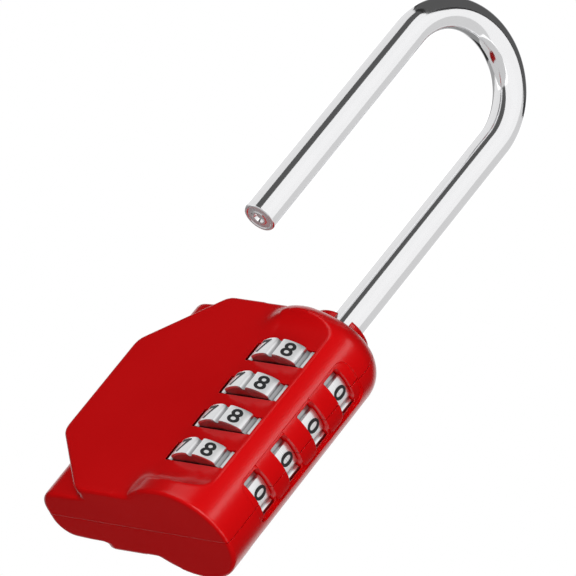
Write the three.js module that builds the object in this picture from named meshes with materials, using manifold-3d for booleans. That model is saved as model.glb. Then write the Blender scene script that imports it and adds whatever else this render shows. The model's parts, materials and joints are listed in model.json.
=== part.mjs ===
// Four-dial combination padlock, modelled open with its shackle turned to the front.
// Millimetres, +Z up. The origin is the middle of the flat bottom face of the lock body.
// The dials, the clutch sleeves and the heel of the shackle share one vertical axis.
import * as THREE from "three";
import { mergeVertices } from "three/addons/utils/BufferGeometryUtils.js";
import Module from "manifold-3d";

const wasm = await Module();
wasm.setup();

// ---- driving dimensions ----
const BODY_H = 46;                  // lock body, bottom face to top face
const BODY_HALF_W = 21.45;          // half of its overall width
const PLATE_HALF = 7.1;             // raised plates, from the middle plane
const PLATE_CORNER = 12.1;          // 45 degree corners cut from the plates
const PLATE_OVERLAP = 6.4;          // the plates end this far short of the dial axis
const SLAB_FRONT = -4.7;            // thinner slab behind the plates
const SLAB_REAR = 5.5;
const SLAB_CORNER_R = 4;            // its upright corners at the left end
const SLAB_INSET = 1.5;             // slab end, back from the plates' left edge
const ROLL_X = 10.5;                // semi-axis of the rounded dial housing, sideways
const ROLL_Y = 9.6;                 // and front to back
const DOME_H = 3;                   // rounded top rim of the housing
const DOME_IN = 3.4;
const SCOOP_R = 4;                  // concave ends of the flats in front of the dials
const SCOOP_LOW = 6.9;              // the flats run between these two heights
const SCOOP_HIGH = 39.5;
const COLLAR_R = 5.4;               // collar round the shackle hole
const COLLAR_H = 1.7;
const CHANNEL_HALF = 4.9;           // recess down the side, for the side windows
const CHANNEL_LOW = 8.1;
const CHANNEL_HIGH = 38.3;
const CHANNEL_DEPTH = 0.4;
const SIDE_WINDOW_HALF = 3.75;
const SIDE_FROM = 7;                // cuts for the recess and side windows start inside the wall
const FRONT_SEAM = 0.35;            // the two shells stop at these planes
const REAR_SEAM = 0.65;

const DIALS = 4;
const PITCH = 7.83;                 // dial spacing, and the travel of the shackle
const DIAL_LOW = 11.25;             // height of the lowest dial's middle
const DIAL_R = 9.35;
const DIAL_H = 3.65;
const GROOVE_DEPTH = 0.75;          // finger groove between two facets
const GROOVE_HALF = 2.8;            // half of its width, in degrees
const FACET_CROWN = 0.1;            // how far a facet's ends drop
const FACETS = 10;                  // one numbered facet for each digit
const HALF_STEP = 180 / FACETS;     // degrees from a facet's middle to its groove
const POCKET_R = 9.65;              // pocket of each dial in the shells
const POCKET_HALF = 2.03;
const SPLINE_TIP = 6.2;             // splines that join a sleeve to its dial
const SPLINE_ROOT = 5.6;
const SPLINE_HALF = 7;              // half of a spline's width, in degrees
const SPLINE_SLOT_HALF = 9.9;       // and of the slot that takes it
const SLEEVE_R = 5.3;
const SLEEVE_TOP = 5;               // sleeve's top above its dial's middle
const WEB_TOP = 2.6;                // the gated web's top above the dial's middle
const GAP = 0.3;                    // clearance between neighbouring pieces
const SLIDE_GAP = 0.2;              // and round the shackle where it slides
const STACK_BORE_R = SPLINE_ROOT;   // bore through the webs between the pockets
const STACK_LOW = 1.7;
const STACK_HIGH = DIAL_LOW + (DIALS - 1) * PITCH + SLEEVE_TOP + GAP;

const SHACKLE_R = 3;
const SHACKLE_SPAN = 25.1;          // leg to leg, between centres
const BEND_Z = 93.5;                // centre of the bend
const HEEL_END = 13.6;
const TOE_END = 48.3;
const OPEN_TURN = 78.4;             // degrees that the open shackle stands turned
const LUG_R = 4.2;
const LUG_W = 2;
const LUG_H = 1.8;
const COUNTERBORE_R = 4.6;
const GATE_W = 2.6;
const GATE_SPREAD = 20;             // the wide gate runs this far past the lug, in degrees
const KEYWAY_W = 2.8;               // notch in the collar
const KEYWAY_TURN = 38;             // degrees from the front, towards the dials' side
const KEYWAY_LOW = BODY_H + 0.2;
const RIVET_R = 1.1;
const RIVET_HEAD_R = 1.9;
const RIVET_HEAD_H = 1;
const RIVET_FRONT = -4;             // the shank's blind end
const RIVET_GAP = 0.25;
const CUP_R = 2.85;                 // cup between the spring and the shackle's heel
const SPRING_R = 1.95;              // shackle spring, to the middle of its wire
const SPRING_WIRE = 0.6;
const RESET_SPRING_R = 4.95;
const RESET_WIRE = 0.55;
const WASHER_IN = 4.6;
const WASHER_H = 0.5;

const HEEL_X = BODY_HALF_W - ROLL_X;
const PLATE_LEFT = -BODY_HALF_W;
const SLAB_LEFT = PLATE_LEFT + SLAB_INSET;
const TOE_X = HEEL_X - SHACKLE_SPAN;
const FAR = 60;
const RAD = Math.PI / 180;

// ---- finishes ----
const paint = { color: 0xb8090f, roughness: 0.28, metalness: 0.1 };
const chrome = { color: 0xd8dadd, roughness: 0.12, metalness: 1 };
const dialMetal = { color: 0xc9ccce, roughness: 0.34, metalness: 0.9 };
const zinc = { color: 0x9da1a5, roughness: 0.42, metalness: 0.9 };
const springSteel = { color: 0x7f858b, roughness: 0.35, metalness: 1 };

// ---- solids from geometry ----
function solid(geometry) {
  geometry.deleteAttribute("normal");
  geometry.deleteAttribute("uv");
  const merged = mergeVertices(geometry, 1e-4);
  const vertProperties = new Float32Array(merged.attributes.position.array);
  const triVerts = new Uint32Array(merged.index.array);
  return new wasm.Manifold(new wasm.Mesh({ numProp: 3, vertProperties, triVerts }));
}

function geometryOf(manifold) {
  const mesh = manifold.getMesh();
  const geometry = new THREE.BufferGeometry();
  geometry.setAttribute("position", new THREE.BufferAttribute(mesh.vertProperties, 3));
  geometry.setIndex(new THREE.BufferAttribute(mesh.triVerts, 1));
  geometry.computeVertexNormals();
  return geometry;
}

function block(x0, x1, y0, y1, z0, z1) {
  const box = new THREE.BoxGeometry(x1 - x0, y1 - y0, z1 - z0);
  return solid(box.translate((x0 + x1) / 2, (y0 + y1) / 2, (z0 + z1) / 2));
}

function rod(r, z0, z1, sides = 32, x = HEEL_X, y = 0) {
  const cylinder = new THREE.CylinderGeometry(r, r, z1 - z0, sides);
  return solid(cylinder.rotateX(Math.PI / 2).translate(x, y, (z0 + z1) / 2));
}

// A plan outline raised along Z.
function prism(shape, z0, z1, curveSegments = 24) {
  const options = { depth: z1 - z0, bevelEnabled: false, curveSegments };
  return solid(new THREE.ExtrudeGeometry(shape, options).translate(0, 0, z0));
}

// An outline in X and Z, carried through along Y.
function slice(shape, y0, y1, curveSegments = 12) {
  const options = { depth: y1 - y0, bevelEnabled: false, curveSegments };
  const extruded = new THREE.ExtrudeGeometry(shape, options);
  return solid(extruded.rotateX(Math.PI / 2).translate(0, y1, 0));
}

// An outline in Y and Z, carried along X.
function rail(shape, x0, x1, curveSegments = 12) {
  const options = { depth: x1 - x0, bevelEnabled: false, curveSegments };
  const extruded = new THREE.ExtrudeGeometry(shape, options);
  return solid(extruded.rotateX(Math.PI / 2).rotateZ(Math.PI / 2).translate(x0, 0, 0));
}

function polygon(points) {
  return new THREE.Shape(points.map(([x, y]) => new THREE.Vector2(x, y)));
}

function circleShape(r, x = 0, y = 0) {
  const shape = new THREE.Shape();
  shape.absarc(x, y, r, 0, 2 * Math.PI, false);
  return shape;
}

function dialZ(i) {
  return DIAL_LOW + i * PITCH;
}

// ---- lock body ----
function slabSolid() {
  const r = SLAB_CORNER_R;
  const shape = new THREE.Shape();
  shape.moveTo(HEEL_X, SLAB_FRONT);
  shape.lineTo(HEEL_X, SLAB_REAR);
  shape.lineTo(SLAB_LEFT + r, SLAB_REAR);
  shape.absarc(SLAB_LEFT + r, SLAB_REAR - r, r, Math.PI / 2, Math.PI, false);
  shape.lineTo(SLAB_LEFT, SLAB_FRONT + r);
  shape.absarc(SLAB_LEFT + r, SLAB_FRONT + r, r, Math.PI, 1.5 * Math.PI, false);
  return prism(shape, 0, BODY_H, 3);
}

function plateSolid() {
  const right = HEEL_X - PLATE_OVERLAP;
  const outline = polygon([
    [PLATE_LEFT + PLATE_CORNER, 0],
    [right, 0],
    [right, BODY_H],
    [PLATE_LEFT + PLATE_CORNER, BODY_H],
    [PLATE_LEFT, BODY_H - PLATE_CORNER],
    [PLATE_LEFT, PLATE_CORNER],
  ]);
  return slice(outline, -PLATE_HALF, PLATE_HALF);
}

function rollSolid() {
  const profile = [new THREE.Vector2(0, 0), new THREE.Vector2(0.96, 0), new THREE.Vector2(1, 0.5)];
  for (let step = 0; step <= 4; step++) {
    const angle = (step / 4) * (Math.PI / 2);
    const r = 1 - (DOME_IN / ROLL_X) * (1 - Math.cos(angle));
    profile.push(new THREE.Vector2(r, BODY_H - DOME_H + DOME_H * Math.sin(angle)));
  }
  profile.push(new THREE.Vector2(0, BODY_H));
  const lathe = new THREE.LatheGeometry(profile, 56);
  return solid(lathe.rotateX(Math.PI / 2).scale(ROLL_X, ROLL_Y, 1).translate(HEEL_X, 0, 0));
}

// The space in front of a flat, with a concave end above and below. side is -1 for the front.
function scoopSolid(side) {
  const out = PLATE_HALF + SCOOP_R;
  const shape = new THREE.Shape();
  shape.moveTo(PLATE_HALF, SCOOP_LOW);
  shape.lineTo(PLATE_HALF, SCOOP_HIGH);
  shape.absarc(out, SCOOP_HIGH, SCOOP_R, Math.PI, Math.PI / 2, true);
  shape.lineTo(out, SCOOP_LOW - SCOOP_R);
  shape.absarc(out, SCOOP_LOW, SCOOP_R, 1.5 * Math.PI, Math.PI, true);
  const right = rail(shape, HEEL_X - ROLL_X, HEEL_X + ROLL_X, 4);
  return side > 0 ? right : right.mirror([0, 1, 0]);
}

function channelSolid() {
  const outer = block(HEEL_X + SIDE_FROM, FAR, -CHANNEL_HALF, CHANNEL_HALF, CHANNEL_LOW, CHANNEL_HIGH);
  const shape = new THREE.Shape();
  shape.absellipse(HEEL_X, 0, ROLL_X - CHANNEL_DEPTH, ROLL_Y - CHANNEL_DEPTH, 0, 2 * Math.PI, false);
  return outer.subtract(prism(shape, 0, BODY_H, 28));
}

function outerBody() {
  let body = slabSolid().add(plateSolid()).add(rollSolid());
  body = body.subtract(scoopSolid(-1)).subtract(scoopSolid(1)).subtract(channelSolid());
  return body.add(rod(COLLAR_R, BODY_H - 1, BODY_H + COLLAR_H, 48));
}

// ---- what is cut out of the two shells ----
function dialPockets() {
  let cut = rod(STACK_BORE_R, STACK_LOW, STACK_HIGH, 36);
  for (let i = 0; i < DIALS; i++) {
    const z0 = dialZ(i) - POCKET_HALF;
    const z1 = dialZ(i) + POCKET_HALF;
    cut = cut.add(rod(POCKET_R, z0, z1, 60));
    cut = cut.add(block(HEEL_X + SIDE_FROM + 1, FAR, -SIDE_WINDOW_HALF, SIDE_WINDOW_HALF, z0, z1));
  }
  return cut;
}

function shackleHoles() {
  const heel = rod(SHACKLE_R + SLIDE_GAP, STACK_HIGH - 1, FAR, 32);
  const half = KEYWAY_W / 2;
  const notch = block(-half, half, -COLLAR_R - 1, 0, KEYWAY_LOW, FAR);
  const keyway = notch.rotate([0, 0, KEYWAY_TURN]).translate([HEEL_X, 0, 0]);
  const toe = rod(SHACKLE_R + GAP, TOE_END - PITCH - 0.8, FAR, 32, TOE_X);
  return heel.add(keyway).add(toe);
}

const SPRING_SPINE_X = HEEL_X - 11.2;
const SPRING_LOW = 7;
const SPRING_HIGH = 39;

function innerSpaces() {
  const low = SPRING_LOW - GAP;
  const high = SPRING_HIGH + GAP;
  const detent = block(SPRING_SPINE_X - 0.5, HEEL_X - 8.5, -2.5, 2.5, low, high);
  const hollow = block(-13.2, SPRING_SPINE_X - 1.6, -4.2, 4.2, 8.5, 36);
  return detent.add(hollow);
}

const RIVET_PLACES = [
  [PLATE_LEFT + 5.4, 15.6],
  [PLATE_LEFT + 5.4, 30.4],
  [PLATE_LEFT + 17.2, 4.6],
  [PLATE_LEFT + 17.2, 41.4],
];

// A rivet or the hole that takes it, lying along Y: a shank and a sunk head at the rear.
function rivetSolid([x, z], spare) {
  const front = RIVET_FRONT - spare;
  const rear = PLATE_HALF + spare * 4;
  const sunk = PLATE_HALF - RIVET_HEAD_H - spare;
  const points = [
    [0, front],
    [RIVET_R + spare, front],
    [RIVET_R + spare, sunk],
    [RIVET_HEAD_R + spare, sunk],
    [RIVET_HEAD_R + spare, rear],
    [0, rear],
  ].map(([r, y]) => new THREE.Vector2(r, y));
  return solid(new THREE.LatheGeometry(points, 16).translate(x, 0, z));
}

function shells() {
  let body = outerBody().subtract(dialPockets()).subtract(shackleHoles());
  body = body.subtract(innerSpaces());
  for (const place of RIVET_PLACES) {
    body = body.subtract(rivetSolid(place, RIVET_GAP));
  }
  const front = body.intersect(block(-FAR, FAR, -FAR, FRONT_SEAM, -1, FAR));
  const rear = body.intersect(block(-FAR, FAR, REAR_SEAM, FAR, -1, FAR));
  return [front, rear];
}

// ---- dials and clutch sleeves ----
// A ring outline that steps between two radii, once for each facet.
function splineOutline(tip, root, halfAngle) {
  const points = [];
  for (let k = 0; k < FACETS; k++) {
    const middle = (360 / FACETS) * k;
    const marks = [
      [root, -HALF_STEP],
      [root, -halfAngle],
      [tip, -halfAngle],
      [tip, 0],
      [tip, halfAngle],
      [root, halfAngle],
    ];
    for (const [r, turn] of marks) {
      const angle = (middle + turn) * RAD;
      points.push(new THREE.Vector2(r * Math.cos(angle), r * Math.sin(angle)));
    }
  }
  return new THREE.Shape(points);
}

function dialSolid(i) {
  const points = [];
  for (let k = 0; k < FACETS; k++) {
    const middle = (360 / FACETS) * k;
    const marks = [
      [DIAL_R - GROOVE_DEPTH, -HALF_STEP],
      [DIAL_R - FACET_CROWN, GROOVE_HALF - HALF_STEP],
      [DIAL_R, -10],
      [DIAL_R, -5],
      [DIAL_R, 0],
      [DIAL_R, 5],
      [DIAL_R, 10],
      [DIAL_R - FACET_CROWN, HALF_STEP - GROOVE_HALF],
    ];
    for (const [r, turn] of marks) {
      const angle = (middle + turn) * RAD;
      points.push(new THREE.Vector2(r * Math.cos(angle), r * Math.sin(angle)));
    }
  }
  const rim = prism(new THREE.Shape(points), -DIAL_H / 2, DIAL_H / 2);
  const bore = prism(splineOutline(SPLINE_TIP + GAP, SPLINE_ROOT + GAP, SPLINE_SLOT_HALF), -5, 5);
  return rim.subtract(bore).translate([HEEL_X, 0, dialZ(i)]);
}

// The gates let the shackle's lug through the web: one for closing, a wide one for resetting.
function gateSolid() {
  const closing = block(-COUNTERBORE_R, 0, -GATE_W / 2, GATE_W / 2, -5, 5);
  const shape = new THREE.Shape();
  const spread = GATE_SPREAD * RAD;
  const from = Math.PI + OPEN_TURN * RAD - spread;
  shape.moveTo(0, 0);
  shape.lineTo(COUNTERBORE_R * Math.cos(from), COUNTERBORE_R * Math.sin(from));
  shape.absarc(0, 0, COUNTERBORE_R, from, 2 * Math.PI + spread, false);
  shape.closePath();
  return closing.add(prism(shape, -5, 5, 8));
}

function sleeveSolid(i) {
  const splines = splineOutline(SPLINE_TIP, SPLINE_ROOT, SPLINE_HALF);
  const half = DIAL_H / 2;
  let sleeve = prism(splines, -half, half);
  sleeve = sleeve.add(rod(SLEEVE_R, half - 0.5, SLEEVE_TOP, 36, 0));
  sleeve = sleeve.subtract(rod(SHACKLE_R + SLIDE_GAP, -5, 9, 24, 0));
  sleeve = sleeve.subtract(rod(COUNTERBORE_R, WEB_TOP, 9, 24, 0));
  sleeve = sleeve.subtract(gateSolid());
  return sleeve.translate([HEEL_X, 0, dialZ(i)]);
}

// ---- shackle ----
function shackleSolid() {
  const half = SHACKLE_SPAN / 2;
  const route = new THREE.CurvePath();
  const point = (x, z) => new THREE.Vector3(x, 0, z);
  route.add(new THREE.LineCurve3(point(0, HEEL_END), point(0, BEND_Z)));
  class Bend extends THREE.Curve {
    getPoint(t, target = new THREE.Vector3()) {
      const angle = Math.PI * t;
      return target.set(-half + half * Math.cos(angle), 0, BEND_Z + half * Math.sin(angle));
    }
  }
  route.add(new Bend());
  route.add(new THREE.LineCurve3(point(-SHACKLE_SPAN, BEND_Z), point(-SHACKLE_SPAN, TOE_END)));
  const options = { steps: 50, bevelEnabled: false, curveSegments: 9, extrudePath: route };
  let shackle = solid(new THREE.ExtrudeGeometry(circleShape(SHACKLE_R), options));
  for (let i = 0; i < DIALS; i++) {
    const z = dialZ(i) + PITCH / 2;
    shackle = shackle.add(block(-LUG_R, -1, -LUG_W / 2, LUG_W / 2, z - LUG_H / 2, z + LUG_H / 2));
  }
  return shackle.rotate([0, 0, OPEN_TURN]).translate([HEEL_X, 0, 0]);
}

// ---- springs and small pieces ----
function helix(radius, wire, z0, z1, turns, steps) {
  class Coil extends THREE.Curve {
    getPoint(t, target = new THREE.Vector3()) {
      const angle = 2 * Math.PI * turns * t;
      return target.set(radius * Math.cos(angle), radius * Math.sin(angle), z0 + (z1 - z0) * t);
    }
  }
  const options = { steps, bevelEnabled: false, curveSegments: 3, extrudePath: new Coil() };
  const extruded = new THREE.ExtrudeGeometry(circleShape(wire / 2), options);
  return solid(extruded.translate(HEEL_X, 0, 0));
}

const CUP_TOP = HEEL_END - GAP;

function springCupSolid() {
  return rod(CUP_R, CUP_TOP - 1.2, CUP_TOP, 32).add(rod(1.25, CUP_TOP - 2.6, CUP_TOP - 1, 24));
}

function shackleSpringSolid() {
  return helix(SPRING_R, SPRING_WIRE, STACK_LOW + 0.45, CUP_TOP - 1.7, 5, 70);
}

const WASHER_TOP = DIAL_LOW - DIAL_H / 2 - GAP;

function resetWasherSolid() {
  const ring = rod(SLEEVE_R, WASHER_TOP - WASHER_H, WASHER_TOP, 40);
  return ring.subtract(rod(WASHER_IN, 0, WASHER_TOP + 1, 40));
}

function resetSpringSolid() {
  return helix(RESET_SPRING_R, RESET_WIRE, STACK_LOW + 0.4, WASHER_TOP - 1.05, 3, 48);
}

// One spring leaf with a finger for each dial, which stops the dial at every digit.
function detentSpringSolid() {
  const back = SPRING_SPINE_X;
  let leaf = block(back, back + 0.4, -2.2, 2.2, SPRING_LOW, SPRING_HIGH);
  for (let i = 0; i < DIALS; i++) {
    const finger = polygon([
      [back + 0.2, -1.7],
      [HEEL_X - DIAL_R - 0.35, -0.35],
      [HEEL_X - DIAL_R - 0.35, 0.35],
      [back + 0.2, 1.7],
    ]);
    leaf = leaf.add(prism(finger, dialZ(i) - 1.2, dialZ(i) + 1.2));
  }
  return leaf;
}

// ---- assembly ----
const lock = new THREE.Group();

function place(name, manifold, finish) {
  const mesh = new THREE.Mesh(geometryOf(manifold), new THREE.MeshStandardMaterial(finish));
  mesh.name = name;
  lock.add(mesh);
}

const [frontShell, rearShell] = shells();
place("front_shell", frontShell, paint);
place("rear_shell", rearShell, paint);
place("shackle", shackleSolid(), chrome);
for (let i = 0; i < DIALS; i++) {
  place("dial_wheel_" + (i + 1), dialSolid(i), dialMetal);
  place("clutch_sleeve_" + (i + 1), sleeveSolid(i), zinc);
}
place("shackle_spring", shackleSpringSolid(), springSteel);
place("spring_cup", springCupSolid(), zinc);
place("reset_spring", resetSpringSolid(), springSteel);
place("reset_washer", resetWasherSolid(), zinc);
place("detent_spring", detentSpringSolid(), springSteel);
RIVET_PLACES.forEach((spot, i) => {
  place("rivet_" + (i + 1), rivetSolid(spot, 0), zinc);
});

export default lock;
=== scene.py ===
# Four-dial combination padlock, unlocked, with its shackle lifted and turned to the front.
# Metres, +Z up. The origin is the middle of the flat bottom face of the lock body.
import json
import math

import bpy
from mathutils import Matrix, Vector


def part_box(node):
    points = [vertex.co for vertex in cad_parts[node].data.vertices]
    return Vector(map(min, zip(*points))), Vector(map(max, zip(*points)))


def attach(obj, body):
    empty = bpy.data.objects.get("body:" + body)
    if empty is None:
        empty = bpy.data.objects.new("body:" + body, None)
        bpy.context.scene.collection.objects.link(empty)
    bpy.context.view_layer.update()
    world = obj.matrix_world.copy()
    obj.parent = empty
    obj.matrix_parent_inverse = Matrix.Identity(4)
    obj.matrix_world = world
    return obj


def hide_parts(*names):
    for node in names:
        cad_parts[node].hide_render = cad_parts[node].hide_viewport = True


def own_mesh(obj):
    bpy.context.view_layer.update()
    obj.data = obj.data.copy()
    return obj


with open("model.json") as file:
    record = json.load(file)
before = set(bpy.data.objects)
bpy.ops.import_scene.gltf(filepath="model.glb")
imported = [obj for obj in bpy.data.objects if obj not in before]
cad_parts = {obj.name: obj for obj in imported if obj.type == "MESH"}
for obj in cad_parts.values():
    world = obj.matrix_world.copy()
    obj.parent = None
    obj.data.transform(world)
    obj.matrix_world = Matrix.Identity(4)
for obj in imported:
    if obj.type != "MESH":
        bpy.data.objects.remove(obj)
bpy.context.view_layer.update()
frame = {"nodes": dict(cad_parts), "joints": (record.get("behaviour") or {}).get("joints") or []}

# ---- camera ----
# A long lens below the lock and to its right, rolled so that the shackle rises to the right.
# It looks up at the front, the side windows and the bottom face.
bpy.ops.object.camera_add(
    location=(1.06205, -0.85292, -0.68502),
    rotation=[math.radians(turn) for turn in (124.821, -33.497, 30.433)],
)
camera = bpy.context.object
camera.data.sensor_width = 36
camera.data.lens = 584.5
camera.data.shift_y = -0.002
camera.data.clip_end = 20
bpy.context.scene.camera = camera
bpy.context.scene.view_settings.view_transform = "Standard"


# ---- studio ----
# A white cyclorama behind the lock, soft lights from below, the side and the front, and one tall
# strip that draws the line down the dial housing. The panels round the lock light only its metal.
class Wire:
    """One output socket. Arithmetic on wires adds Math nodes to their tree."""

    def __init__(self, shader, socket):
        self.shader = shader
        self.socket = socket

    def math(self, operation, other):
        return self.shader.node("ShaderNodeMath", {"operation": operation}, {0: self, 1: other})

    def __add__(self, other):
        return self.math("ADD", other)

    def __mul__(self, other):
        return self.math("MULTIPLY", other)

    __radd__ = __add__
    __rmul__ = __mul__


class Shader:
    """The node tree of a material or of the world, started empty."""

    def __init__(self, owner):
        owner.use_nodes = True
        self.owner = owner
        self.nodes = owner.node_tree.nodes
        self.links = owner.node_tree.links
        self.nodes.clear()

    def node(self, kind, settings=None, sockets=None, out=0):
        made = self.nodes.new(kind)
        for name, value in (settings or {}).items():
            setattr(made, name, value)
        for name, value in (sockets or {}).items():
            if isinstance(value, Wire):
                self.links.new(value.socket, made.inputs[name])
            else:
                made.inputs[name].default_value = value
        return Wire(self, made.outputs[out]) if made.outputs else made

    def smooth_step(self, value, low, high):
        """Rises smoothly from 0 to 1 as value goes from low to high."""
        ends = {"From Min": low, "From Max": high, "Value": value}
        return self.node("ShaderNodeMapRange", {"interpolation_type": "SMOOTHSTEP"}, ends)

    def blend(self, factor, first, second):
        """The first colour where factor is 0, and the second where it is 1."""
        ends = {0: factor, 6: first, 7: second}
        return self.node("ShaderNodeMix", {"data_type": "RGBA"}, ends, out=2)


def direction(azimuth, elevation):
    """The unit vector at an azimuth from +X and an elevation, in degrees."""
    flat = math.cos(math.radians(elevation))
    turn = math.radians(azimuth)
    return Vector((flat * math.cos(turn), flat * math.sin(turn), math.sin(math.radians(elevation))))


world = Shader(bpy.data.worlds.new("studio"))
bpy.context.scene.world = world.owner
toward = world.node("ShaderNodeTexCoord", out="Generated")
CYCLORAMA_AIM = direction(141, 28)
CYCLORAMA_FULL = math.cos(math.radians(28))
CYCLORAMA_END = math.cos(math.radians(47))
facing = world.node("ShaderNodeVectorMath", {"operation": "DOT_PRODUCT"},
                    {0: toward, 1: CYCLORAMA_AIM}, out="Value")
cyclorama = world.smooth_step(facing, CYCLORAMA_END, CYCLORAMA_FULL)
white = (1, 1, 1, 1)
lit = cyclorama * 1.05 + 0.03
room = world.node("ShaderNodeBackground", sockets={"Color": white, "Strength": lit})
backdrop = world.node("ShaderNodeBackground", sockets={"Color": white, "Strength": 1.0})
seen = world.node("ShaderNodeLightPath", out="Is Camera Ray")
both = world.node("ShaderNodeMixShader", sockets={0: seen, 1: room, 2: backdrop})
world.node("ShaderNodeOutputWorld", sockets={"Surface": both})

painted = bpy.data.collections.new("lit_as_paint")
plated = bpy.data.collections.new("lit_as_metal")
dials = bpy.data.collections.new("lit_as_dials")
middle = Vector((0, 0, 0.05))


def panel(name, place, aim, width, height, radiance, receivers):
    """A soft rectangular light at place, facing aim, that lights only its receivers."""
    turn = (place - aim).to_track_quat("Z", "Y").to_euler()
    bpy.ops.object.light_add(type="AREA", location=place, rotation=turn)
    light = bpy.context.object
    light.name = name
    light.data.shape = "RECTANGLE"
    light.data.size = width
    light.data.size_y = height
    light.data.energy = radiance * math.pi * width * height
    light.visible_camera = False
    light.light_linking.receiver_collection = receivers


panel("fill", middle + 0.7 * direction(-38, -30), middle, 0.6, 0.55, 3.2, painted)
panel("strip", middle + 0.7 * direction(-23, 28), middle, 0.12, 0.6, 4.2, painted)
panel("front_key", middle + 0.8 * direction(-96, 5), middle, 0.6, 0.6, 1.7, painted)
panel("side_key", middle + 0.9 * direction(20, -35), middle, 0.6, 0.5, 2.0, painted)

# The panels round the metal stand in a ring. A dim one in its last place draws the dark line down
# each leg of the shackle, and a bright one just inside it lights the dials alone.
TENT_R = 0.6
TENT_HIGH = 1.15
TENT_STEP = 32.5
TENT_START = -52.75
DIM_GLOW = 0.07
tent_middle = Vector((0, 0, 0.07))
tent_glow = [0.95, 0.97, 0.95, 0.66, 0.66, 0.25, 0, 0.35, 0.82, 0.8]
for k, glow in enumerate(tent_glow):
    place = direction(TENT_START + TENT_STEP * k, 0) * TENT_R + tent_middle
    width = 2 * TENT_R * math.tan(math.radians(TENT_STEP / 2))
    panel("tent_" + str(k + 1), place, tent_middle, width, TENT_HIGH, glow, plated)
gap_place = direction(-86.5, 0) * TENT_R + tent_middle
panel("tent_gap", gap_place * 1.1, tent_middle, 0.43, 1.3, DIM_GLOW, plated)
panel("tent_top", Vector((0, 0, 0.9)), middle, 1.4, 1.4, DIM_GLOW, plated)
panel("tent_low", Vector((0, 0, -0.55)), middle, 1.3, 1.3, 0.6, plated)
panel("dial_glow", gap_place, tent_middle, 0.38, TENT_HIGH, 0.6, dials)


# ---- floor ----
# A pale sheet just under the lock, with a light of its own. It is seen from above only, because
# the lock is looked at from below too.
FLOOR_SIDE = 1.6
FLOOR_Z = -0.0003


def fresh(name, piece=None):
    """Names a piece, the active one if none is given, and puts its place into its mesh."""
    piece = piece or bpy.context.object
    piece.name = name
    piece.data.name = name
    bpy.ops.object.transform_apply(location=True, rotation=True, scale=True)
    return piece


bpy.ops.object.select_all(action="DESELECT")
bpy.ops.mesh.primitive_plane_add(size=FLOOR_SIDE, location=(0, 0, FLOOR_Z))
floor = fresh("floor")
for ray in ("visible_diffuse", "visible_glossy", "visible_transmission", "visible_shadow"):
    setattr(floor, ray, False)
floor_paper = Shader(bpy.data.materials.new("pale_floor"))
back = floor_paper.node("ShaderNodeNewGeometry", out="Backfacing")
paper = floor_paper.node("ShaderNodeBsdfPrincipled", sockets={
    "Base Color": (0.9, 0.9, 0.9, 1), "Roughness": 0.8,
})
clear = floor_paper.node("ShaderNodeBsdfTransparent")
floor_side = floor_paper.node("ShaderNodeMixShader", sockets={0: back, 1: paper, 2: clear})
floor_paper.node("ShaderNodeOutputMaterial", sockets={"Surface": floor_side})
floor.data.materials.append(floor_paper.owner)
laid = bpy.data.collections.new("lit_as_floor")
laid.objects.link(floor)
panel("floor_light", Vector((0, 0, 1.2)), middle, 2.4, 2.4, 1.7, laid)


# ---- lock body ----
# Two zinc castings meet at a seam in the middle plane and are stoved with glossy red enamel.
# A chamfered plate and a thinner slab run into the round dial housing, which has a scooped flat
# in front of the dials, a recess down its side and a collar round the shackle.
MM = 0.001
cup_low, cup_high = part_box("spring_cup")
heel = Vector(((cup_low.x + cup_high.x) / 2, 0, 0))
body_low, body_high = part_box("front_shell")
BODY_H = 46 * MM
PLATE_HALF = 7.1 * MM
PLATE_LEFT = body_low.x
FAR = 60 * MM
dial_box = [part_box("dial_wheel_" + str(i + 1)) for i in range(4)]
dial_z = [(low.z + high.z) / 2 for low, high in dial_box]


def cube(name, x, y, z):
    """A block between pairs of limits along X, Y and Z."""
    bpy.ops.object.select_all(action="DESELECT")
    centre = [(low + high) / 2 for low, high in (x, y, z)]
    sides = [high - low for low, high in (x, y, z)]
    bpy.ops.mesh.primitive_cube_add(size=1, location=centre, scale=sides)
    return fresh(name)


def rod(name, radius, z, sides=96, at=heel):
    """A round bar along Z between two heights."""
    bpy.ops.object.select_all(action="DESELECT")
    bpy.ops.mesh.primitive_cylinder_add(
        vertices=sides, radius=radius, depth=z[1] - z[0], location=(at.x, at.y, (z[0] + z[1]) / 2)
    )
    return fresh(name)


def pick(piece, kind, wanted):
    """Opens piece in edit mode with the vertices, edges or faces that are wanted selected."""
    bpy.ops.object.select_all(action="DESELECT")
    piece.select_set(True)
    bpy.context.view_layer.objects.active = piece
    bpy.ops.object.mode_set(mode="EDIT")
    bpy.ops.mesh.select_mode(type=kind)
    bpy.ops.mesh.select_all(action="DESELECT")
    bpy.ops.object.mode_set(mode="OBJECT")
    mesh = piece.data
    if kind == "VERT":
        for vertex in mesh.vertices:
            vertex.select = wanted(vertex.co)
    if kind == "EDGE":
        for edge in mesh.edges:
            edge.select = wanted(*[mesh.vertices[v].co for v in edge.vertices])
    if kind == "FACE":
        for face in mesh.polygons:
            face.select = wanted(face.center, face.normal)
    bpy.ops.object.mode_set(mode="EDIT")


def close():
    """Leaves edit mode."""
    bpy.ops.object.mode_set(mode="OBJECT")


def near(first, second, slack=0.02 * MM):
    """Whether two numbers are the same, within the slack."""
    return abs(first - second) < slack


def round_edges(piece, offset, segments, wanted):
    """Bevels the edges that are wanted."""
    pick(piece, "EDGE", wanted)
    bpy.ops.mesh.bevel(offset=offset, segments=segments, affect="EDGES", clamp_overlap=False)
    close()


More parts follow.
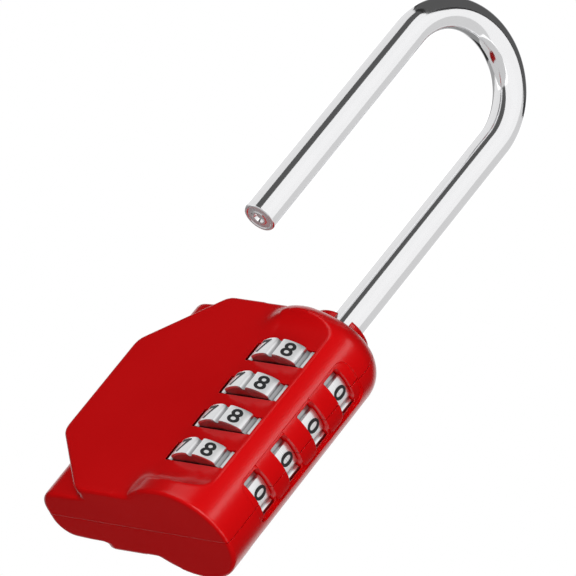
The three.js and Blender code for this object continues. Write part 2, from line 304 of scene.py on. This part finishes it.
def modify(piece, kind, **settings):
    """Adds one modifier to piece and applies it."""
    bpy.ops.object.select_all(action="DESELECT")
    piece.select_set(True)
    bpy.context.view_layer.objects.active = piece
    modifier = piece.modifiers.new(kind.lower(), kind)
    for name, value in settings.items():
        setattr(modifier, name, value)
    bpy.ops.object.modifier_apply(modifier=modifier.name)


def combine(piece, operation, *others, keep=False):
    """Joins other pieces to piece, cuts them out of it, or keeps what they share."""
    for other in others:
        modify(piece, "BOOLEAN", operation=operation, solver="MANIFOLD", object=other)
        if not keep:
            bpy.data.objects.remove(other)


def shade(piece, degrees):
    """Smooths the shading across edges that turn by less than some degrees."""
    bpy.ops.object.select_all(action="DESELECT")
    piece.select_set(True)
    bpy.context.view_layer.objects.active = piece
    bpy.ops.object.shade_smooth_by_angle(angle=math.radians(degrees))


# The slab sits evenly about the seam, and its upright corners are well rounded.
SLAB_LEFT = PLATE_LEFT + 1.5 * MM
SLAB_DEPTH = (-4.7 * MM, 5.5 * MM)
SLAB_CORNER_R = 4 * MM
SLAB_RIM_R = 0.7 * MM
slab = cube("slab", (SLAB_LEFT, heel.x), SLAB_DEPTH, (0, BODY_H))
round_edges(slab, SLAB_CORNER_R, 10, lambda a, b: near(a.x, SLAB_LEFT) and near(b.x, SLAB_LEFT)
            and near(a.y, b.y))
round_edges(slab, SLAB_RIM_R, 4, lambda a, b: near(a.z, b.z) and max(a.x, b.x) < 0)

# The plate's left corners are cut at 45 degrees, and its rims are eased.
PLATE_CORNER = 12.1 * MM
PLATE_RIGHT = heel.x - 6.4 * MM
PLATE_CUT_R = 1.2 * MM
PLATE_RIM_R = 0.5 * MM
plate = cube("plate", (PLATE_LEFT, PLATE_RIGHT), (-PLATE_HALF, PLATE_HALF), (0, BODY_H))
round_edges(plate, PLATE_CORNER, 1, lambda a, b: near(a.x, PLATE_LEFT) and near(b.x, PLATE_LEFT)
            and near(a.z, b.z))
round_edges(plate, PLATE_CUT_R, 4, lambda a, b: near(a.x, b.x) and near(a.z, b.z) and a.x < 0)
round_edges(plate, PLATE_RIM_R, 3, lambda a, b: near(abs(a.y), PLATE_HALF) and near(a.y, b.y))

# The housing is an oval roll with a domed top rim, cut back to the plate in front of the dials.
# It swells a little towards its foot at the rear, and its inner half flares into the plate. The
# dome is widest on the outer side.
ROLL_X = 10.5 * MM
ROLL_Y = 9.6 * MM
ROLL_REAR_LOW_Y = 10.3 * MM
FLARE_X = 12.6 * MM
DOME_R = 5.2 * MM
DOME_LEAST = 0.58
FOOT_R = 0.5 * MM
roll = rod("roll", 1, (0, BODY_H), 160, Vector((0, 0, 0)))
pick(roll, "VERT", lambda p: True)
bpy.ops.transform.resize(value=(ROLL_X, ROLL_Y, 1), center_override=(0, 0, 0))
bpy.ops.transform.translate(value=heel)
close()
pick(roll, "VERT", lambda p: p.x < heel.x - 0.1 * MM)
bpy.ops.transform.resize(value=(FLARE_X / ROLL_X, 1, 1), center_override=heel)
close()
pick(roll, "VERT", lambda p: p.y > 0.1 * MM and p.z < 1 * MM)
bpy.ops.transform.resize(value=(1, ROLL_REAR_LOW_Y / ROLL_Y, 1), center_override=heel)
close()
rounding = roll.data.attributes.new("bevel_weight_edge", "FLOAT", "EDGE")
for edge in roll.data.edges:
    ends = [roll.data.vertices[v].co for v in edge.vertices]
    if near(ends[0].z, BODY_H) and near(ends[1].z, BODY_H):
        outward = (ends[0] - heel).xy.normalized().x
        share = min(max(outward + 0.5, 0), 1)
        rounding.data[edge.index].value = DOME_LEAST + (1 - DOME_LEAST) * share
modify(roll, "BEVEL", width=DOME_R, segments=10, limit_method="WEIGHT", use_clamp_overlap=False)
round_edges(roll, FOOT_R, 3, lambda a, b: near(a.z, 0) and near(b.z, 0))

# Each scooped flat ends in a cove at its top and bottom, and its outer edge is rounded.
FLAT_LOW = 2.9 * MM
FLAT_HIGH = 43.5 * MM
FLAT_END_R = 4 * MM
FLAT_EDGE_R = 1.1 * MM
flat_edge = ROLL_X * math.sqrt(1 - (PLATE_HALF / ROLL_Y) ** 2)
flat_x = (heel.x - FLARE_X - 1 * MM, heel.x + ROLL_X + 1 * MM)
for side in (-1, 1):
    depth = sorted((side * PLATE_HALF, side * 20 * MM))
    scoop = cube("scoop", flat_x, depth, (FLAT_LOW, FLAT_HIGH))
    round_edges(scoop, FLAT_END_R, 10, lambda a, b: near(abs(a.y), PLATE_HALF)
                and near(abs(b.y), PLATE_HALF) and near(a.z, b.z))
    combine(roll, "DIFFERENCE", scoop)
round_edges(roll, FLAT_EDGE_R, 4, lambda a, b: near(a.x - heel.x, flat_edge, 0.1 * MM)
            and near(a.x, b.x) and near(abs(a.y), PLATE_HALF) and near(a.y, b.y)
            and abs(a.z - b.z) > 10 * MM)
COLLAR_R = 5.4 * MM
COLLAR_RIM_R = 0.45 * MM
collar = rod("collar", COLLAR_R, (BODY_H - 3 * MM, body_high.z))
round_edges(collar, COLLAR_RIM_R, 3, lambda a, b: near(a.z, body_high.z)
            and near(b.z, body_high.z))

# The parts of the casting flow into each other through small fillets. Where the flares run into
# the plate they are eased much further, and less at the body's rims. Each row is a band of
# heights, and how often its surface is smoothed.
VOXEL = 0.28 * MM
EASE_Y = 6.6 * MM
EASE_X = (heel.x - 12 * MM, heel.x - 5.2 * MM)
casting = roll
combine(casting, "UNION", plate, slab, collar)
modify(casting, "REMESH", mode="VOXEL", voxel_size=VOXEL)
modify(casting, "SMOOTH", factor=0.5, iterations=3)
for low, high, repeat in ((-1 * MM, 8.5 * MM, 10), (0.8 * MM, 8.5 * MM, 70),
                          (37 * MM, 47 * MM, 10), (37 * MM, 45.3 * MM, 70)):
    pick(casting, "VERT", lambda p: low < p.z < high and abs(p.y) > EASE_Y
         and EASE_X[0] < p.x < EASE_X[1])
    bpy.ops.mesh.vertices_smooth(factor=0.5, repeat=repeat)
    close()


def oval(name, inset):
    """The housing's oval plan, raised through its height, this far inside its surface."""
    made = rod(name, 1, (0, BODY_H), 128, Vector((0, 0, 0)))
    pick(made, "VERT", lambda p: True)
    bpy.ops.transform.resize(value=(ROLL_X - inset, ROLL_Y - inset, 1), center_override=(0, 0, 0))
    bpy.ops.transform.translate(value=heel)
    close()
    return made


# The recess down the side has round corners. Between the side windows stand low rounded pads,
# which run into the housing at the front.
POCKET_HALF = 2.03 * MM
RECESS_Y = (-4.4 * MM, 4.6 * MM)
RECESS_Z = (8.1 * MM, 38.6 * MM)
RECESS_CORNER_R = 1.8 * MM
RECESS_DEEP = 0.45 * MM
PAD_Y = (-6 * MM, 4 * MM)
PAD_CORNER_R = 1.3 * MM
PAD_DEEP = 0.1 * MM
recess = cube("recess", (heel.x + 6.5 * MM, FAR), RECESS_Y, RECESS_Z)
round_edges(recess, RECESS_CORNER_R, 6, lambda a, b: abs(a.x - b.x) > 10 * MM)
combine(recess, "DIFFERENCE", oval("recess_floor", RECESS_DEEP))
gaps = [(below + POCKET_HALF, above - POCKET_HALF) for below, above in zip(dial_z, dial_z[1:])]
gaps.append((0, dial_z[0] - POCKET_HALF))
for low, high in gaps:
    pad = cube("pad", (heel.x + 6 * MM, heel.x + 11 * MM), PAD_Y, (low, high))
    round_edges(pad, PAD_CORNER_R, 6, lambda a, b: abs(a.x - b.x) > 2 * MM and a.y > 0)
    combine(pad, "INTERSECT", oval("pad_crown", PAD_DEEP))
    combine(recess, "DIFFERENCE", pad)
combine(casting, "DIFFERENCE", recess)

# Inside are the dial pockets with their windows, the stack bore, the shackle's two holes, the
# keyway in the collar, a slot for the detent spring and a hollow behind it.
POCKET_R = 9.65 * MM
WINDOW_HALF = 3.75 * MM
WINDOW_CORNER_R = 0.5 * MM
STACK_R = 5.6 * MM
STACK_LOW = 1.7 * MM
STACK_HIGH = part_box("clutch_sleeve_4")[1].z + 0.3 * MM
cuts = rod("cuts", STACK_R, (STACK_LOW, STACK_HIGH), 72)
for z in dial_z:
    pocket_z = (z - POCKET_HALF, z + POCKET_HALF)
    combine(cuts, "UNION", rod("pocket", POCKET_R, pocket_z, 128))
    window = cube("window", (heel.x + 8 * MM, FAR), (-WINDOW_HALF, WINDOW_HALF), pocket_z)
    round_edges(window, WINDOW_CORNER_R, 4, lambda a, b: abs(a.x - b.x) > 10 * MM)
    combine(cuts, "UNION", window)
HEEL_HOLE_R = 3.2 * MM
combine(cuts, "UNION", rod("heel_hole", HEEL_HOLE_R, (STACK_HIGH - 1 * MM, FAR), 64))
combine(casting, "DIFFERENCE", cuts)
SPAN = 25.1 * MM
TOE_HOLE_R = 3.3 * MM
TOE_HOLE_LOW = 39.7 * MM
toe_hole = Vector((heel.x - SPAN, 0, 0))
combine(casting, "DIFFERENCE", rod("toe_hole", TOE_HOLE_R, (TOE_HOLE_LOW, FAR), 64, toe_hole))
KEYWAY_HALF = 1.4 * MM
KEYWAY_LOW = BODY_H + 0.2 * MM
KEYWAY_TURN = 38
keyway = cube("keyway", (heel.x - KEYWAY_HALF, heel.x + KEYWAY_HALF), (-COLLAR_R - 1 * MM, 0),
              (KEYWAY_LOW, FAR))
pick(keyway, "VERT", lambda p: True)
bpy.ops.transform.rotate(value=-math.radians(KEYWAY_TURN), orient_axis="Z", center_override=heel)
close()
combine(casting, "DIFFERENCE", keyway)
SLOT_HALF = 2.5 * MM
leaf_low, leaf_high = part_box("detent_spring")
slot = cube("slot", (leaf_low.x - 0.5 * MM, heel.x - 8.5 * MM), (-SLOT_HALF, SLOT_HALF),
            (leaf_low.z - 0.3 * MM, leaf_high.z + 0.3 * MM))
HOLLOW_LEFT = -13.2 * MM
HOLLOW_HALF = 4.2 * MM
HOLLOW_Z = (8.5 * MM, 36 * MM)
hollow = cube("hollow", (HOLLOW_LEFT, leaf_low.x - 1.6 * MM), (-HOLLOW_HALF, HOLLOW_HALF),
              HOLLOW_Z)
combine(casting, "DIFFERENCE", slot, hollow)


RIVET_R = 1.1 * MM
RIVET_FRONT = -4 * MM
RIVET_HEAD_R = 1.9 * MM
RIVET_HEAD_DEEP = 1 * MM
RIVET_PLAY = 0.12 * MM


def rivet(name, centre, spare):
    """A rivet along Y with a sunk head at the rear, or with spare room the hole that takes it."""
    bpy.ops.object.select_all(action="DESELECT")
    front = RIVET_FRONT - spare
    sunk = PLATE_HALF - RIVET_HEAD_DEEP - spare
    bpy.ops.mesh.primitive_cylinder_add(
        vertices=32, radius=RIVET_R + spare, depth=sunk - front,
        location=(centre.x, (sunk + front) / 2, centre.z), rotation=(math.pi / 2, 0, 0),
    )
    made = fresh(name)
    pick(made, "FACE", lambda c, n: n.y > 0.9)
    bpy.ops.mesh.inset(thickness=0)
    wider = (RIVET_HEAD_R + spare) / (RIVET_R + spare)
    bpy.ops.transform.resize(value=(wider, 1, wider), center_override=(centre.x, sunk, centre.z))
    head = 3 * MM if spare else RIVET_HEAD_DEEP - 0.05 * MM
    bpy.ops.mesh.extrude_region_move(TRANSFORM_OT_translate={"value": (0, head + spare, 0)})
    close()
    return made


rivet_middle = []
for k in range(4):
    low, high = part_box("rivet_" + str(k + 1))
    rivet_middle.append((low + high) / 2)
    combine(casting, "DIFFERENCE", rivet("rivet_hole", rivet_middle[k], RIVET_PLAY))

# The casting parts into two shells, which leave a fine seam between them.
enamel = Shader(bpy.data.materials.new("red_enamel"))
place = enamel.node("ShaderNodeTexCoord", out="Object")
broad = enamel.node("ShaderNodeTexNoise", sockets={"Vector": place, "Scale": 55, "Detail": 2})
peel = enamel.node("ShaderNodeTexNoise", sockets={"Vector": place, "Scale": 1400, "Detail": 2})
colour = enamel.blend(broad, (0.66, 0.0025, 0.0035, 1), (0.76, 0.0035, 0.005, 1))
eased = enamel.node("ShaderNodeBevel", {"samples": 8}, {"Radius": 0.12 * MM})
skin = enamel.node("ShaderNodeBump", sockets={
    "Strength": 0.05, "Distance": 0.02 * MM, "Height": peel, "Normal": eased,
})
gloss = enamel.node("ShaderNodeBsdfPrincipled", sockets={
    "Base Color": colour, "Roughness": 0.2 + 0.08 * broad,
    "Normal": skin, "Specular IOR Level": 0.32,
})
enamel.node("ShaderNodeOutputMaterial", sockets={"Surface": gloss})

SEAM = (0.42 * MM, 0.58 * MM)
for name, depth in (("front_shell", (-FAR, SEAM[0])), ("rear_shell", (SEAM[1], FAR))):
    shell = casting.copy()
    shell.data = casting.data.copy()
    bpy.context.collection.objects.link(shell)
    shell.name = "enamelled_" + name
    shell.data.name = shell.name
    combine(shell, "INTERSECT", cube("half", (-FAR, FAR), depth, (-1 * MM, FAR)))
    shade(shell, 30)
    shell.data.materials.clear()
    shell.data.materials.append(enamel.owner)
    painted.objects.link(shell)
    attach(shell, "lock_body")
    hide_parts(name)
bpy.data.objects.remove(casting)


def dress(piece, body, slot, shader, light, *nodes):
    """Gives a finished piece its body, its finish and its lights, and hides the nodes that it
    stands for, if any. The slot is not used.
    """
    piece.data.materials.clear()
    piece.data.materials.append(shader.owner)
    light.objects.link(piece)
    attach(piece, body)
    if nodes:
        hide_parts(*nodes)


# ---- rivets ----
# Four steel rivets hold the shells together. Their heads lie flush in the rear plate, and each
# has a small dish left by the punch that set it.
def metal(name, tint, rough, grain, stretch=(1, 1, 1), mottle=0.08, painted_shade_within=None, metallic=1.0):
    """Bare metal: a tint that drifts a little, and a grain that roughens and ripples it.

    What lies well within a given radius of the heel's axis, down in the grooves, is painted a dull
    dark grey as painted shade."""
    shader = Shader(bpy.data.materials.new(name))
    where = shader.node("ShaderNodeTexCoord", out="Object")
    along = shader.node("ShaderNodeMapping", sockets={"Vector": where, "Scale": stretch})
    fine = shader.node("ShaderNodeTexNoise", sockets={"Vector": along, "Scale": grain, "Detail": 4})
    cloud = shader.node("ShaderNodeTexNoise", sockets={"Vector": where, "Scale": 220, "Detail": 3})
    darker = [channel * (1 - mottle * 2) for channel in tint] + [1]
    colour = shader.blend(cloud, (*darker,), (*tint, 1))
    # Painted shade: the hollows inside the given radius are darkened to a dull grey.
    if painted_shade_within:
        flat = shader.node("ShaderNodeVectorMath", {"operation": "MULTIPLY_ADD"},
                           {0: where, 1: (1, 1, 0), 2: -heel})
        radius = shader.node("ShaderNodeVectorMath", {"operation": "LENGTH"}, {0: flat},
                             out="Value")
        clear_of_painted_shade = shader.smooth_step(radius, painted_shade_within - 0.6 * MM, painted_shade_within - 0.25 * MM)
        colour = shader.blend(clear_of_painted_shade, (0.4, 0.4, 0.41, 1), colour)
    ripple = shader.node("ShaderNodeBump", sockets={
        "Strength": 0.1, "Distance": 0.02 * MM, "Height": fine,
    })
    body = shader.node("ShaderNodeBsdfPrincipled", sockets={
        "Base Color": colour, "Metallic": metallic,
        "Roughness": rough * 0.7 + rough * 0.6 * fine, "Normal": ripple,
    })
    shader.node("ShaderNodeOutputMaterial", sockets={"Surface": body})
    return shader


rivet_steel = metal("turned_steel", (0.52, 0.52, 0.53), 0.34, 900)
for k, centre in enumerate(rivet_middle):
    node = "rivet_" + str(k + 1)
    made = rivet("set_" + node, centre, 0)
    pick(made, "FACE", lambda c, n: n.y > 0.9 and near(c.y, PLATE_HALF, 0.3 * MM))
    bpy.ops.mesh.inset(thickness=0.15 * MM)
    bpy.ops.mesh.inset(thickness=0.9 * MM, depth=-0.12 * MM)
    bpy.ops.mesh.inset(thickness=0.25 * MM, depth=-0.2 * MM)
    close()
    shade(made, 40)
    dress(made, "lock_body", "rivet_steel", rivet_steel, plated, node)


# ---- shackle ----
# A 6 mm steel rod bent to a long U and plated with bright chrome. Its toe is cut square and
# faced on a lathe, where the bare steel shows. Four lugs on its heel pass through the sleeves
# when every dial is right.
ROD_R = 3 * MM
ROD_END_R = 0.4 * MM
HEEL_END = cup_high.z + 0.3 * MM
TOE_END = 48.3 * MM
BEND_Z = 93.5 * MM
joints = {joint["name"]: joint for joint in frame["joints"]}
open_turn = -math.radians(joints["shackle_turn"]["range_deg"][0])
bpy.ops.object.select_all(action="DESELECT")
bpy.ops.mesh.primitive_circle_add(vertices=48, radius=ROD_R, location=(heel.x, 0, HEEL_END))
shackle = fresh("chromed_shackle")
pick(shackle, "VERT", lambda p: True)
bpy.ops.mesh.extrude_region_move(TRANSFORM_OT_translate={"value": (0, 0, BEND_Z - HEEL_END)})
bpy.ops.mesh.spin(steps=72, angle=math.pi, center=(heel.x - SPAN / 2, 0, BEND_Z), axis=(0, 1, 0))
bpy.ops.mesh.extrude_region_move(TRANSFORM_OT_translate={"value": (0, 0, TOE_END - BEND_Z)})
bpy.ops.mesh.select_all(action="SELECT")
bpy.ops.mesh.remove_doubles(threshold=0.001 * MM)
bpy.ops.mesh.fill_holes(sides=0)
bpy.ops.mesh.normals_make_consistent(inside=False)
close()
round_edges(shackle, ROD_END_R, 4, lambda a, b: near(a.z, b.z)
            and (near(a.z, TOE_END) or near(a.z, HEEL_END)))

# The lathe left a ring and a centre dimple in the toe. Each pair is an inset and its depth in mm.
pick(shackle, "FACE", lambda c, n: n.z < -0.99 and near(c.z, TOE_END)
     and (c - toe_hole).xy.length < 0.5 * MM)
for thickness, depth in ((0.25, 0), (0.12, -0.1), (0.75, 0.02), (0.15, 0.08), (0.35, 0),
                         (0.3, -0.45)):
    bpy.ops.mesh.inset(thickness=thickness * MM, depth=depth * MM)
close()
LUG_REACH = 4.2 * MM
LUG_HALF_WIDE = 1 * MM
LUG_HALF_TALL = 0.9 * MM
LUG_EDGE_R = 0.15 * MM
for z in dial_z:
    lug_z = z + (dial_z[1] - dial_z[0]) / 2
    lug = cube("lug", (heel.x - LUG_REACH, heel.x - 1 * MM), (-LUG_HALF_WIDE, LUG_HALF_WIDE),
               (lug_z - LUG_HALF_TALL, lug_z + LUG_HALF_TALL))
    round_edges(lug, LUG_EDGE_R, 2, lambda a, b: min(a.x, b.x) < heel.x - ROD_R)
    combine(shackle, "UNION", lug)
pick(shackle, "VERT", lambda p: True)
bpy.ops.transform.rotate(value=-open_turn, orient_axis="Z", center_override=heel)
close()
shade(shackle, 40)
chrome = metal("bright_chrome", (0.9, 0.9, 0.91), 0.09, 700, mottle=0.02)
dress(shackle, "shackle", "shackle_chrome", chrome, plated, "shackle")
faced = metal("faced_steel", (0.5, 0.5, 0.51), 0.45, 1500, mottle=0.05, metallic=0.3)
shackle.data.materials.append(faced.owner)
pick(shackle, "FACE", lambda c, n: n.z < -0.9 and (c - heel).xy.length > 10 * MM
     and near(c.z, TOE_END, 1 * MM))
shackle.active_material_index = 1
bpy.ops.object.material_slot_assign()
close()


# ---- dial wheels ----
# Each wheel is a satin zinc casting with ten crowned facets and a finger groove between two
# neighbours. Its bore has ten slots for the splines of the clutch sleeve inside it.
DIAL_R = dial_box[0][1].x - heel.x
DIAL_SIDES = 180
FACET = 36
GROOVE_DEEP = 0.7 * MM
WHEEL_EDGE_R = 0.12 * MM
BORE_R = 5.9 * MM
SLOT_R = 6.5 * MM


def off_facet(p):
    """How far a point stands round the heel from the middle of its facet, in degrees."""
    turn = math.degrees(math.atan2(p.y, p.x - heel.x))
    return abs((turn + FACET / 2) % FACET - FACET / 2)


def draw_in(piece, radius, wanted):
    """Moves the outer vertices that are wanted to a smaller radius."""
    pick(piece, "VERT", lambda p: wanted(off_facet(p)) and (p - heel).xy.length > 1 * MM)
    share = radius / DIAL_R
    bpy.ops.transform.resize(value=(share, share, 1), center_override=heel)
    close()


low_z, high_z = dial_box[0][0].z, dial_box[0][1].z
wheel = rod("wheel", DIAL_R, (low_z, high_z), DIAL_SIDES)
draw_in(wheel, DIAL_R - GROOVE_DEEP, lambda off: off > 15)
draw_in(wheel, DIAL_R - 0.12 * MM, lambda off: 13 < off < 15)
draw_in(wheel, DIAL_R - 0.04 * MM, lambda off: 11 < off < 13)
bore = rod("bore", DIAL_R, (low_z - 1 * MM, high_z + 1 * MM), DIAL_SIDES)
draw_in(bore, SLOT_R, lambda off: off < 9)
draw_in(bore, BORE_R, lambda off: off > 9)
combine(wheel, "DIFFERENCE", bore)
modify(wheel, "BEVEL", width=WHEEL_EDGE_R, segments=2, limit_method="ANGLE",
       angle_limit=math.radians(40))
# The finger grooves and the bore are painted dark grey as painted shade.
satin = metal("satin_dial_metal", (0.86, 0.86, 0.87), 0.3, 500, (0.25, 0.25, 6), mottle=0.03,
              painted_shade_within=DIAL_R)


# ---- numbers on the dials ----
# A rounded number stands on every facet, 0 to 9 going round, filled with black enamel. The
# numbers are sunk into the metal and stand just proud of it.
DIGIT_TALL = 2.9 * MM
DIGIT_WIDE = 2.2 * MM
DIGIT_SUNK = 0.07 * MM
bpy.ops.object.select_all(action="DESELECT")
digits = []
for n in range(10):
    turn = math.radians(FACET * n)
    bpy.ops.object.text_add()
    text = bpy.context.object
    text.data.body = str(n)
    text.data.size = 3.6 * MM
    text.data.offset = 0.07 * MM
    text.data.extrude = 0.09 * MM
    text.data.resolution_u = 5
    bpy.ops.object.convert(target="MESH")
    digit = bpy.context.object
    pick(digit, "VERT", lambda p: True)
    bpy.ops.mesh.remove_doubles(threshold=0.0005 * MM)
    bpy.ops.mesh.normals_make_consistent(inside=False)
    close()
    corners = [Vector(corner) for corner in digit.bound_box]
    centre = (corners[0] + corners[6]) / 2
    wide, tall = digit.dimensions.x, digit.dimensions.y
    pick(digit, "VERT", lambda p: True)
    bpy.ops.transform.translate(value=(-centre.x, -centre.y, 0))
    squeeze = DIGIT_WIDE / wide if n != 1 else DIGIT_TALL / tall
    bpy.ops.transform.resize(value=(squeeze, DIGIT_TALL / tall, 1), center_override=(0, 0, 0))
    close()
    reach = DIAL_R - DIGIT_SUNK
    digit.rotation_euler = (math.pi / 2, 0, math.pi / 2 + turn)
    place = Vector((reach * math.cos(turn), reach * math.sin(turn), (low_z + high_z) / 2))
    digit.location = heel + place
    digits.append(digit)
bpy.ops.object.select_all(action="DESELECT")
for digit in digits:
    digit.select_set(True)
bpy.context.view_layer.objects.active = digits[0]
bpy.ops.object.join()
numbers = fresh("numbers")
ink = Shader(bpy.data.materials.new("black_number_enamel"))
spot = ink.node("ShaderNodeTexCoord", out="Object")
dull = ink.node("ShaderNodeTexNoise", sockets={"Vector": spot, "Scale": 2500, "Detail": 2})
deep = ink.blend(dull, (0.006, 0.006, 0.007, 1), (0.02, 0.02, 0.022, 1))
film = ink.node("ShaderNodeBsdfPrincipled", sockets={
    "Base Color": deep, "Roughness": 0.35 + 0.25 * dull, "Specular IOR Level": 0.3,
})
ink.node("ShaderNodeOutputMaterial", sockets={"Surface": film})

for k, z in enumerate(dial_z):
    body = "dial_" + str(k + 1)
    for made, name, slot, shader, node in (
        (wheel, "turned_wheel_", "dial_metal", satin, ["dial_wheel_" + str(k + 1)]),
        (numbers, "numbers_", None, ink, []),
    ):
        copy = made.copy()
        copy.data = made.data.copy()
        bpy.context.collection.objects.link(copy)
        copy.name = name + str(k + 1)
        copy.data.name = copy.name
        pick(copy, "VERT", lambda p: True)
        bpy.ops.transform.translate(value=(0, 0, z - dial_z[0]))
        close()
        shade(copy, 30)
        dress(copy, body, slot, shader, plated, *node)
        dials.objects.link(copy)
bpy.data.objects.remove(wheel)
bpy.data.objects.remove(numbers)


# ---- shackle spring ----
# A spring of round steel wire stands in the bore under the cup and pushes the shackle up. It is
# wound with five turns. The real spring is squeezed nearly solid when the lock is shut; this one
# keeps one length.
SPRING_R = 1.95 * MM
WIRE_R = 0.3 * MM
TURNS = 5
spring_low, spring_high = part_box("shackle_spring")
bpy.ops.object.select_all(action="DESELECT")
bpy.ops.mesh.primitive_circle_add(vertices=12, radius=WIRE_R, rotation=(math.pi / 2, 0, 0),
                                  location=(heel.x + SPRING_R, 0, spring_low.z + WIRE_R))
spring = fresh("wound_shackle_spring")
bpy.context.scene.cursor.location = heel
bpy.ops.object.origin_set(type="ORIGIN_CURSOR")
rise = spring_high.z - spring_low.z - 2 * WIRE_R
modify(spring, "SCREW", angle=2 * math.pi * TURNS, screw_offset=rise, steps=32 * TURNS,
       render_steps=32 * TURNS, use_merge_vertices=False)
fresh("wound_shackle_spring", spring)
pick(spring, "VERT", lambda p: True)
bpy.ops.mesh.fill_holes(sides=0)
bpy.ops.mesh.normals_make_consistent(inside=False)
close()
shade(spring, 40)
spring_steel = metal("spring_steel", (0.5, 0.51, 0.53), 0.25, 1200, mottle=0.1)
dress(spring, "lock_body", "spring_steel", spring_steel, plated, "shackle_spring")
lift = abs(joints["shackle_lift"]["range_m"][0])
height = spring_high.z - spring_low.z
(height - lift) / height
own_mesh(spring)

# ---- the works inside ----
# The clutch sleeves, cup and washer are bare zinc castings. The reset spring and the detent
# leaf are spring steel. None of them shows with the shells closed.
zinc = metal("cast_zinc", (0.55, 0.56, 0.57), 0.42, 600, mottle=0.12)
for node in ("clutch_sleeve_1", "clutch_sleeve_2", "clutch_sleeve_3", "clutch_sleeve_4",
             "spring_cup", "reset_washer", "reset_spring", "detent_spring"):
    piece = frame["nodes"][node]
    steel = node in ("reset_spring", "detent_spring")
    piece.data.materials.clear()
    piece.data.materials.append(spring_steel.owner if steel else zinc.owner)
    plated.objects.link(piece)
